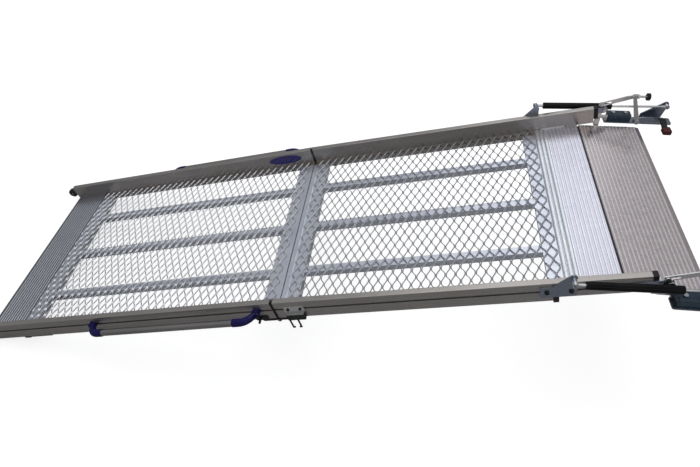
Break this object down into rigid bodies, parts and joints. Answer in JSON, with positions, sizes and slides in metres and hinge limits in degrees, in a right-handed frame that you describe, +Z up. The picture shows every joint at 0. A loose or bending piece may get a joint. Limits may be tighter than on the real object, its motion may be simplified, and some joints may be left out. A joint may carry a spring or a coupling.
{
  "type": "folding wheelchair ramp",
  "caption": "Vehicle-mounted folding wheelchair ramp with expanded-mesh deck, side rails, hinged bridge plate, lift gas springs, side handles and ground rollers.",
  "frame": {"origin": "centre of the four floor bolt holes, on the vehicle floor", "axes": "+X into the vehicle, +Y to the left, +Z up; the ramp falls away towards -X"},
  "size_m": [2.6452, 0.952, 0.6821],
  "materials": {
    "rail_aluminium": "anodised, warm grey, brushed along the extrusion",
    "frame_aluminium": "mill finish",
    "mesh_aluminium": "bright raised expanded metal",
    "landing_aluminium": "ribbed, bright",
    "bridge_aluminium": "ribbed, slightly warm",
    "ground_aluminium": "ribbed, grey",
    "handle_aluminium": "satin tube",
    "black_steel": "black coated",
    "zinc_steel": "blue-grey zinc plated",
    "lever_steel": "bright flat bar",
    "block_zinc": "dark blue passivated",
    "bolt_steel": "zinc plated",
    "rod_chrome": "ground and plated rod",
    "blue_plastic": "moulded navy blue",
    "black_plastic": "moulded black",
    "black_rubber": "black rubber",
    "brown_rubber": "dark red-brown rubber",
    "badge_enamel": "plain blue-violet oval"
  },
  "bodies": {
    "base": {"floor_strip_left": "zinc_steel", "floor_strip_right": "zinc_steel", "main_pivot_bolts": "bolt_steel", "mounting_blocks": "block_zinc", "block_bolts": "bolt_steel", "rear_bracket_left": "zinc_steel", "rear_bracket_right": "zinc_steel", "rear_feet": "brown_rubber", "lever_pivot_bolts": "bolt_steel"},
    "upper_section": {"upper_rail_left": "rail_aluminium", "upper_rail_right": "rail_aluminium", "upper_mid_crossbar": "frame_aluminium", "upper_end_crossbar": "frame_aluminium", "upper_stringers": "frame_aluminium", "upper_mesh": "mesh_aluminium", "landing_plate": "landing_aluminium", "seam_hinge_pin": "bolt_steel", "rail_end_caps": "black_plastic", "pivot_plate_left": "zinc_steel", "pivot_plate_right": "zinc_steel", "spring_bracket_left": "zinc_steel", "spring_bracket_right": "zinc_steel", "frame_bolts": "bolt_steel", "fold_hinges_upper": "black_steel", "fold_hinge_pins": "bolt_steel", "fold_clips": "black_steel", "clip_screws": "bolt_steel", "sill_buffers": "black_rubber"},
    "lower_section": {"lower_rail_left": "rail_aluminium", "lower_rail_right": "rail_aluminium", "lower_mid_crossbar": "frame_aluminium", "lower_end_crossbar": "frame_aluminium", "lower_stringers": "frame_aluminium", "lower_mesh": "mesh_aluminium", "ground_plate": "ground_aluminium", "fold_hinges_lower": "black_steel", "clip_catches": "black_steel", "handle_tube_left": "handle_aluminium", "handle_tube_right": "handle_aluminium", "handle_ends": "blue_plastic", "handle_rivets": "bolt_steel", "rail_skids": "black_rubber", "roller_brackets": "black_steel", "roller_bolts": "bolt_steel", "rail_badge": "badge_enamel"},
    "bridge": {"bridge_plate": "bridge_aluminium"},
    "spring_tube_left": {"gas_tube_left": "black_steel"},
    "spring_rod_left": {"gas_rod_left": "rod_chrome"},
    "lever_left": {"stow_lever_left": "lever_steel", "knob_stem_left": "lever_steel", "knob_left": "black_plastic"},
    "bar_left": {"draw_bar_left": "lever_steel"},
    "ground_roller_left": {"roller_left": "black_rubber"},
    "spring_tube_right": {"gas_tube_right": "black_steel"},
    "spring_rod_right": {"gas_rod_right": "rod_chrome"},
    "lever_right": {"stow_lever_right": "lever_steel", "knob_stem_right": "lever_steel", "knob_right": "black_plastic"},
    "bar_right": {"draw_bar_right": "lever_steel"},
    "ground_roller_right": {"roller_right": "black_rubber"}
  },
  "joints": [
    {"name": "ramp_lift", "type": "hinge", "parent": "base", "child": "upper_section", "pos_m": [-0.1895, 0, 0.0605], "axis": [0, 1, 0], "range_deg": [-5, 98]},
    {"name": "section_fold", "type": "hinge", "parent": "upper_section", "child": "lower_section", "pos_m": [-1.31081, 0, -0.26148], "axis": [0, -1, 0], "range_deg": [0, 179]},
    {"name": "bridge_hinge", "type": "hinge", "parent": "upper_section", "child": "bridge", "pos_m": [-0.2775, 0, 0.002], "axis": [0, 1, 0], "range_deg": [-56, 3]},
    {"name": "spring_tube_pivot_left", "type": "hinge", "parent": "upper_section", "child": "spring_tube_left", "pos_m": [-0.43939, 0.448, 0.05308], "axis": [0, 1, 0], "range_deg": [-47.5, 3]},
    {"name": "spring_rod_pivot_left", "type": "hinge", "parent": "base", "child": "spring_rod_left", "pos_m": [0.0404, 0.448, 0.06732], "axis": [0, 1, 0], "range_deg": [-3, 52.5]},
    {"name": "stow_lever_pivot_left", "type": "hinge", "parent": "base", "child": "lever_left", "pos_m": [-0.058, 0.423, 0.014], "axis": [0, -1, 0], "range_deg": [0, 15]},
    {"name": "draw_bar_pivot_left", "type": "hinge", "parent": "lever_left", "child": "bar_left", "pos_m": [-0.097, 0.427, 0.119], "axis": [0, -1, 0], "range_deg": [-17.1, 0]},
    {"name": "roller_spin_left", "type": "hinge", "parent": "lower_section", "child": "ground_roller_left", "pos_m": [-2.55069, 0.4105, -0.50424], "axis": [0, 1, 0], "continuous": true},
    {"name": "spring_tube_pivot_right", "type": "hinge", "parent": "upper_section", "child": "spring_tube_right", "pos_m": [-0.43939, -0.448, 0.05308], "axis": [0, 1, 0], "range_deg": [-47.5, 3]},
    {"name": "spring_rod_pivot_right", "type": "hinge", "parent": "base", "child": "spring_rod_right", "pos_m": [0.0404, -0.448, 0.06732], "axis": [0, 1, 0], "range_deg": [-3, 52.5]},
    {"name": "stow_lever_pivot_right", "type": "hinge", "parent": "base", "child": "lever_right", "pos_m": [-0.058, -0.423, 0.014], "axis": [0, -1, 0], "range_deg": [0, 15]},
    {"name": "draw_bar_pivot_right", "type": "hinge", "parent": "lever_right", "child": "bar_right", "pos_m": [-0.097, -0.427, 0.119], "axis": [0, -1, 0], "range_deg": [-17.1, 0]},
    {"name": "roller_spin_right", "type": "hinge", "parent": "lower_section", "child": "ground_roller_right", "pos_m": [-2.55069, -0.4105, -0.50424], "axis": [0, 1, 0], "continuous": true}
  ],
  "couplings": [
    {"joint": "bridge_hinge", "follows": "ramp_lift", "ratio": -0.565},
    {"joint": "spring_tube_pivot_left", "follows": "ramp_lift", "ratio": -0.4745},
    {"joint": "spring_rod_pivot_left", "follows": "ramp_lift", "ratio": 0.5255},
    {"joint": "draw_bar_pivot_left", "follows": "stow_lever_pivot_left", "ratio": -1.14},
    {"joint": "spring_tube_pivot_right", "follows": "ramp_lift", "ratio": -0.4745},
    {"joint": "spring_rod_pivot_right", "follows": "ramp_lift", "ratio": 0.5255},
    {"joint": "draw_bar_pivot_right", "follows": "stow_lever_pivot_right", "ratio": -1.14}
  ]
}
